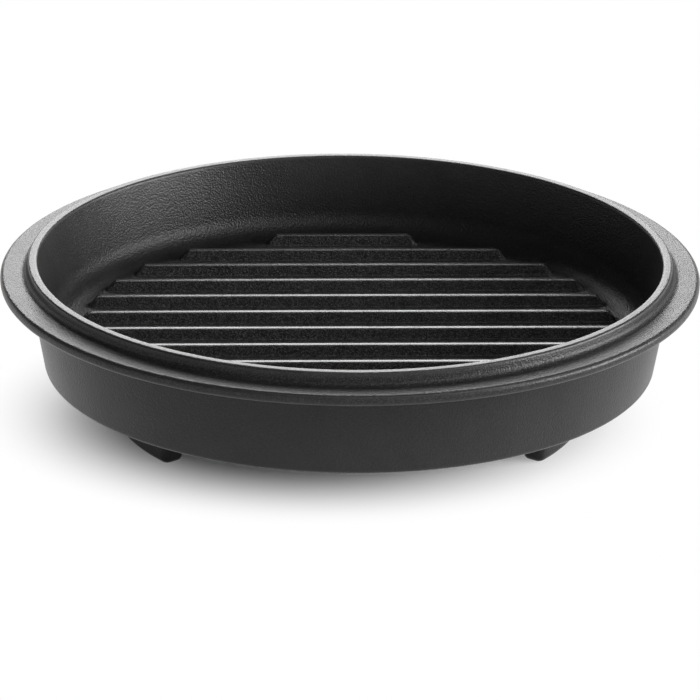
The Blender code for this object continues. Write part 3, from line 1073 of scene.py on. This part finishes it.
@dataclass
class Grip:
    """One grip: a drafted arc-shaped wall with two drilled ears at its top."""

    side: Side
    stack: Stack
    plan: GripPlan
    foot_edge_radius: float = 2.2 * MM
    ear_edge_radius: float = 0.7 * MM
    foot_wear: float = 0.6
    dark: Color = (0.0044, 0.0044, 0.0046, 1.0)
    light: Color = (0.011, 0.011, 0.0114, 1.0)

    def shell(self) -> Shell:
        """The grip as one closed shell.

        The wall is a stack of outlines from the rounded foot to the ears' undersides. From there
        up the outlines take in the ears, and share the wall's points everywhere else.

        Returns:
            The shell.
        """
        shell = Shell()
        ear_height = self.stack.grip_top_z - self.stack.ear_bottom_z
        rise_to_ears = self.stack.ear_bottom_z - self.stack.foot_z
        wall = []
        for rise, offset in edge_levels(self.foot_edge_radius, rise_to_ears, self.plan.draft):
            outline = np.concatenate(self.plan.pieces(offset, -self.ear_edge_radius)[:5])
            wall.append(raised(turned(outline, self.side.value), self.stack.foot_z + rise))
        wall_index = shell.add_points(np.stack(wall))
        shell.add_grid(wall_index)
        shell.fill(wall_index[0], [])
        stretches = self.plan.pieces(rise_to_ears * math.tan(self.plan.draft), -self.ear_edge_radius)
        cuts = np.cumsum([len(stretch) for stretch in stretches[:5]])
        first, span_high, between, span_low, last = np.split(wall_index[-1], cuts[:-1])
        high, low = (shell.add_points(raised(turned(stretch, self.side.value), self.stack.ear_bottom_z))
                     for stretch in stretches[5:])
        rings = [np.concatenate([first, high, between, low, last])]
        for rise, offset in edge_levels(self.ear_edge_radius, ear_height, self.plan.draft)[1:]:
            growth = (rise_to_ears + rise) * math.tan(self.plan.draft)
            outline = turned(self.plan.with_ears(growth, offset), self.side.value)
            rings.append(shell.add_points(raised(outline, self.stack.ear_bottom_z + rise)))
        shell.add_grid(np.stack(rings))
        tops = []
        for angle, ear, before, after, span in (
                (self.plan.ear_angle, high, first, between, span_high),
                (-self.plan.ear_angle, low, between, last, span_low)):
            hole = self.plan.hole(angle, self.side.value)
            index = shell.add_hole(hole, self.stack.ear_bottom_z, self.stack.grip_top_z)
            underside = np.concatenate([before[-1:], ear, after[:1], span[::-1]])
            shell.fill(underside, [index[0]])
            tops.append(index[1])
        shell.fill(rings[-1], tops)
        return shell

    def make(self) -> bpy.types.Object:
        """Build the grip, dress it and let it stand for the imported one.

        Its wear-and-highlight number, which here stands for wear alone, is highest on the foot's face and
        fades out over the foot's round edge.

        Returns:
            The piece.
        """
        name = self.side.name.lower()
        piece = self.shell().build(f"{name}_grip", CAST_CREASE)
        points = point_array(piece)
        from_foot = points[:, 2] - self.stack.foot_z
        paint(piece, "inside", np.zeros(len(points)))
        paint(piece, "painted_sparkle", np.zeros(len(points)))
        paint(piece, "wear_and_highlight", self.foot_wear * np.clip(1.0 - from_foot / self.foot_edge_radius, 0.0, 1.0))
        finish = EnamelFinish("grip_enamel", dark=self.dark, light=self.light)
        piece.data.materials.append(finish.material())
        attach(piece, ROOT_BODY)
        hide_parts(f"grip_{name}")
        return piece


# Screws and lock washers


def stand_at(points: np.ndarray, plan: GripPlan, place: Place) -> np.ndarray:
    """Move points that were made about the vertical axis to a fastener's place.

    Args:
        points: Points (..., 3).
        plan: The grips' plan.
        place: The fastener's place.

    Returns:
        The moved points.
    """
    angles = {
        Place.RIGHT_FRONT: -plan.ear_angle,
        Place.RIGHT_BACK: plan.ear_angle,
        Place.LEFT_BACK: math.pi - plan.ear_angle,
        Place.LEFT_FRONT: math.pi + plan.ear_angle,
    }
    return turned(points + np.array([plan.ear_place, 0.0, 0.0]), angles[place])


@dataclass
class GripScrew:
    """A button-head screw, head down, with a hexagonal socket and a rolled thread."""

    place: Place
    stack: Stack
    plan: GripPlan
    radius: float = 3.0 * MM
    head_radius: float = 5.25 * MM
    head_height: float = 3.3 * MM
    head_edge_radius: float = 2.2 * MM
    thread_pitch: float = 1.0 * MM
    thread_depth: float = 0.45 * MM
    across_flats: float = 4.0 * MM
    socket_depth: float = 2.0 * MM
    bare_shank: float = 2.3 * MM
    point_length: float = 1.0 * MM
    steps: int = 48

    def section(self) -> np.ndarray:
        """Section of the screw from the socket's end, round the head and up to the tip.

        Returns:
            Rows (radius, height, share of hexagon, share of thread).
        """
        low = self.stack.head_bottom_z
        bearing = low + self.head_height
        tip = self.stack.screw_tip_z
        flat = self.across_flats / 2.0
        socket = np.array([
            (0.35 * flat, low + self.socket_depth, 0.5, 0.0),
            (0.97 * flat, low + self.socket_depth, 1.0, 0.0),
            (flat, low + self.socket_depth - 0.1 * MM, 1.0, 0.0),
            (flat, low + 0.35 * MM, 1.0, 0.0),
            (1.24 * flat, low, 0.0, 0.0),
        ])
        head = rounded_section([
            Corner(1.24 * flat, low),
            Corner(self.head_radius, low, self.head_edge_radius, 8),
            Corner(self.head_radius, bearing, 0.2 * MM, 2),
            Corner(self.radius, bearing, 0.15 * MM, 2),
            Corner(self.radius, bearing + self.bare_shank - 0.1 * MM),
        ], 0.15 * MM)[1:]
        head = np.column_stack([head, np.zeros((len(head), 2))])
        heights = np.arange(bearing + self.bare_shank, tip - self.point_length, self.thread_pitch / 8.0)
        fade = np.clip((heights - heights[0]) / self.thread_pitch, 0.0, 1.0)
        thread = np.column_stack([np.full(len(heights), self.radius), heights, np.zeros(len(heights)), fade])
        core = self.radius - self.thread_depth
        end = np.array([
            (core, tip - 0.85 * MM, 0.0, 0.0),
            (core, tip - 0.5 * MM, 0.0, 0.0),
            (core - 0.5 * MM, tip, 0.0, 0.0),
        ])
        return np.concatenate([socket, head, thread, end])

    def shell(self) -> Shell:
        """The screw as one closed shell.

        A row's radius is blended towards a hexagon, whose edge lies at the half width over flats
        divided by the cosine of the angle from the nearest flat's middle. The thread takes depth
        times a triangle wave whose phase climbs one pitch a turn off the radius.

        Returns:
            The shell.
        """
        rows = self.section()
        angle = np.arange(self.steps) * FULL_TURN / self.steps
        from_flat = np.abs((angle / (FULL_TURN / 6.0)) % 1.0 - 0.5) * (FULL_TURN / 6.0)
        hexagon = 1.0 / np.cos(from_flat)
        phase = rows[:, None, 1] / self.thread_pitch - angle[None, :] / FULL_TURN
        valley = np.abs(2.0 * (phase % 1.0) - 1.0)
        radius = rows[:, None, 0] * (1.0 + rows[:, None, 2] * (hexagon[None, :] - 1.0))
        radius = radius - rows[:, None, 3] * self.thread_depth * valley
        points = np.stack([radius * np.cos(angle), radius * np.sin(angle),
                           np.broadcast_to(rows[:, None, 1], radius.shape)], axis=-1)
        shell = Shell()
        index = shell.add_points(stand_at(points, self.plan, self.place))
        shell.add_grid(index)
        ends = np.array([(0.0, 0.0, rows[0, 1] + 0.3 * MM), (0.0, 0.0, rows[-1, 1])])
        ends = stand_at(ends, self.plan, self.place)
        shell.add_fan(index[0], ends[0])
        shell.add_fan(index[-1], ends[1])
        return shell

    def make(self, finish: bpy.types.Material) -> bpy.types.Object:
        """Build the screw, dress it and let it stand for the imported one.

        Args:
            finish: The screws' material.

        Returns:
            The piece.
        """
        piece = self.shell().build(f"screw_{self.place.value}", STEEL_CREASE)
        piece.data.materials.append(finish)
        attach(piece, ROOT_BODY)
        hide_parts(f"grip_screw_{self.place.value}")
        return piece


@dataclass
class LockWasher:
    """A split lock washer under a screw's head."""

    place: Place
    stack: Stack
    plan: GripPlan
    inner_radius: float = 3.3 * MM
    outer_radius: float = 5.9 * MM
    edge_radius: float = 0.25 * MM
    split: float = 1.2 * MM
    split_lean: float = math.radians(25.0)
    steps: int = 72

    def shell(self) -> Shell:
        """The washer as one closed shell: a section with round edges carried from split to split.

        The ends lean, so a point's angle is shifted by its height times the lean's tangent over
        the outer radius.

        Returns:
            The shell.
        """
        low, top = self.stack.washer_low_z, self.stack.washer_top_z
        inner, outer = self.inner_radius, self.outer_radius
        edge = self.edge_radius
        middle = (low + top) / 2.0
        section = rounded_section([
            Corner(inner, middle), Corner(inner, low, edge, 3), Corner(outer, low, edge, 3),
            Corner(outer, top, edge, 3), Corner(inner, top, edge, 3), Corner(inner, middle),
        ], 0.2 * MM)[:-1]
        gap = self.split / outer
        turn = np.linspace(gap / 2.0, FULL_TURN - gap / 2.0, self.steps)
        shift = (section[:, 1] - low) * math.tan(self.split_lean) / outer
        angle = turn[:, None] + shift[None, :]
        points = np.stack([section[None, :, 0] * np.cos(angle), section[None, :, 0] * np.sin(angle),
                           np.broadcast_to(section[None, :, 1], angle.shape)], axis=-1)
        shell = Shell()
        placed = stand_at(points, self.plan, self.place)
        index = shell.add_points(placed)
        shell.add_grid(index)
        shell.add_fan(index[0], placed[0].mean(axis=0))
        shell.add_fan(index[-1], placed[-1].mean(axis=0))
        return shell

    def make(self, finish: bpy.types.Material) -> bpy.types.Object:
        """Build the washer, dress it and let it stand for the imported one.

        Args:
            finish: The washers' material.

        Returns:
            The piece.
        """
        piece = self.shell().build(f"washer_{self.place.value}", STEEL_CREASE)
        piece.data.materials.append(finish)
        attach(piece, ROOT_BODY)
        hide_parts(f"lock_washer_{self.place.value}")
        return piece


# Studio


@dataclass(frozen=True)
class SoftBox:
    """A soft lamp that faces the lid."""

    name: str
    azimuth: float
    elevation: float
    distance: float
    width: float
    height: float
    radiance: float


@dataclass
class Studio:
    """Pale floor, white horizon, soft lamps and the camera."""

    floor_size: float = 12.0
    floor_color: Color = (0.88, 0.88, 0.88, 1.0)
    shadow_shift: tuple[float, float, float] = (0.01, 0.0, 0.0)
    shadow_shape: tuple[float, float, float] = (0.92, 1.07, 1.0)
    # Distances over which the floor's white glow fades in, painting the outer fade of the lid's shadow.
    far_floor: tuple[float, float] = (0.073, 0.14)
    horizon: tuple[float, float] = (math.radians(9.0), math.radians(14.0))
    sky: float = 0.05
    aim_z: float = 0.05
    camera_distance: float = 1.7939
    camera_elevation: float = math.radians(19.86)
    camera_turn: float = math.radians(2.02)
    camera_heading: float = math.radians(2.03)
    camera_pitch: float = math.radians(21.16)
    camera_roll: float = math.radians(0.56)
    lens: float = 215.0
    boxes: tuple[SoftBox, ...] = field(default_factory=lambda: (
        SoftBox("back_box", 0.0, 32.0, 2.5, 1.4, 2.1, 5.8),
        SoftBox("key_box", 120.0, 44.0, 2.5, 1.0, 1.0, 4.4),
        SoftBox("low_key_box", 100.0, 12.5, 2.5, 2.2, 1.06, 12.8),
        SoftBox("front_box", 172.0, 50.0, 2.5, 1.9, 1.3, 1.0),
    ))

    def make_floor(self) -> None:
        """A plain pale floor under the grips' feet, which turns plain white away from the lid.

        A glow fades in with distance from the lid and so paints where the lid's shadow ends; past it the
        floor shines white to the camera and to reflections alone.
        """
        half = self.floor_size / 2.0
        mesh = bpy.data.meshes.new("floor")
        corners = [(-half, -half, 0.0), (half, -half, 0.0), (half, half, 0.0), (-half, half, 0.0)]
        mesh.from_pydata(corners, [], [(0, 1, 2, 3)])
        floor = bpy.data.objects.new("floor", mesh)
        bpy.context.scene.collection.objects.link(floor)
        finisher = Finisher("pale_floor")
        finisher.link(self.floor_color, finisher.surface.inputs["Base Color"])
        finisher.link(1.0, finisher.surface.inputs["Roughness"])
        finisher.link(0.0, finisher.surface.inputs["Specular IOR Level"])
        lid = {"Vector": finisher.spot(), "Location": self.shadow_shift, "Scale": self.shadow_shape}
        place = finisher.node("ShaderNodeMapping", {}, lid)
        reach = finisher.node("ShaderNodeVectorMath", {"operation": "LENGTH"}, {0: place}, "Value")
        camera_ray = finisher.node("ShaderNodeLightPath", {}, {}, "Is Camera Ray")
        glossy_ray = finisher.node("ShaderNodeLightPath", {}, {}, "Is Glossy Ray")
        # Painted fade of the shadow: the glow's share grows with distance from the lid.
        share = reach.limited(*self.far_floor, "SMOOTHSTEP") * camera_ray.math("MAXIMUM", glossy_ray)
        plain = Value(finisher, finisher.surface.outputs[0])
        glow = finisher.node("ShaderNodeEmission", {}, {})
        mix = finisher.node("ShaderNodeMixShader", {}, {0: share, 1: plain, 2: glow})
        finisher.link(mix, finisher.tree.nodes["Material Output"].inputs["Surface"])
        mesh.materials.append(finisher.material)

    def make_surroundings(self) -> None:
        """A world with a white horizon under a dim sky."""
        world = bpy.data.worlds.new("surroundings")
        bpy.context.scene.world = world
        world.use_nodes = True
        nodes = Nodes(world.node_tree)
        place = nodes.node("ShaderNodeTexCoord", {}, {}, "Generated")
        height = nodes.node("ShaderNodeSeparateXYZ", {}, {0: place}, "Z")
        low, high = (math.sin(angle) for angle in self.horizon)
        strength = 1.0 - height.limited(low, high, "SMOOTHSTEP") * (1.0 - self.sky)
        background = nodes.tree.nodes["Background"]
        nodes.link((1.0, 1.0, 1.0, 1.0), background.inputs["Color"])
        nodes.link(strength, background.inputs["Strength"])

    def make_lamps(self) -> None:
        """Soft lamps on a sphere round the lid, each facing its middle."""
        for box in self.boxes:
            azimuth, elevation = math.radians(box.azimuth), math.radians(box.elevation)
            flat = math.cos(elevation)
            toward = Vector((math.sin(azimuth) * flat, math.cos(azimuth) * flat, math.sin(elevation)))
            lamp = bpy.data.lights.new(box.name, "AREA")
            lamp.shape = "RECTANGLE"
            lamp.size, lamp.size_y = box.width, box.height
            lamp.energy = box.radiance * math.pi * box.width * box.height
            stand = bpy.data.objects.new(box.name, lamp)
            stand.location = Vector((0.0, 0.0, self.aim_z)) + toward * box.distance
            stand.rotation_mode = "QUATERNION"
            stand.rotation_quaternion = (-toward).to_track_quat("-Z", "Y")
            stand.visible_camera = False
            bpy.context.scene.collection.objects.link(stand)

    def make_camera(self, lip_top: float) -> None:
        """The photograph's camera: its place on a sphere round the lip's middle, heading, pitch and roll.

        Args:
            lip_top: Height of the lip's top.
        """
        flat = self.camera_distance * math.cos(self.camera_elevation)
        place = Vector((-flat * math.sin(self.camera_turn), -flat * math.cos(self.camera_turn),
                        lip_top + self.camera_distance * math.sin(self.camera_elevation)))
        level = math.cos(self.camera_pitch)
        forward = Vector((math.sin(self.camera_heading) * level, math.cos(self.camera_heading) * level,
                          -math.sin(self.camera_pitch)))
        right = Vector((math.cos(self.camera_heading), -math.sin(self.camera_heading), 0.0))
        up = right.cross(forward)
        cosine, sine = math.cos(self.camera_roll), math.sin(self.camera_roll)
        rolled_right = cosine * right + sine * up
        rolled_up = -sine * right + cosine * up
        turn = Matrix((rolled_right, rolled_up, -forward)).transposed()
        data = bpy.data.cameras.new("camera")
        data.lens = self.lens
        data.sensor_width = 36.0
        data.clip_start, data.clip_end = 0.05, 50.0
        camera = bpy.data.objects.new("camera", data)
        camera.matrix_world = Matrix.Translation(place) @ turn.to_4x4()
        bpy.context.scene.collection.objects.link(camera)
        bpy.context.scene.camera = camera

    def make(self, lip_top: float) -> None:
        """Set up floor, surroundings, lamps and camera.

        Args:
            lip_top: Height of the lip's top.
        """
        self.make_floor()
        self.make_surroundings()
        self.make_lamps()
        self.make_camera(lip_top)
        bpy.context.scene.view_settings.view_transform = "Standard"


def main() -> None:
    """Build the lid's pieces in order, then the studio."""
    logging.basicConfig(level=logging.INFO, format="%(name)s: %(message)s")
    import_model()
    stack = read_stack()
    plan = GripPlan()
    casting = LidCasting(stack, plan)
    LOG.info("made %s", casting.make().name)
    for side in Side:
        LOG.info("made %s", Grip(side, stack, plan).make().name)
    screw_finish = SteelFinish("screw_steel", (0.55, 0.54, 0.52, 1.0), (0.4, 0.39, 0.37, 1.0), 0.28)
    washer_finish = SteelFinish("washer_steel", (0.36, 0.35, 0.34, 1.0), (0.24, 0.23, 0.22, 1.0), 0.36)
    screw_steel, washer_steel = screw_finish.material(), washer_finish.material()
    for place in Place:
        LOG.info("made %s", GripScrew(place, stack, plan).make(screw_steel).name)
        LOG.info("made %s", LockWasher(place, stack, plan).make(washer_steel).name)
    Studio().make(stack.casting_top_z)


if __name__ == "__main__":
    main()
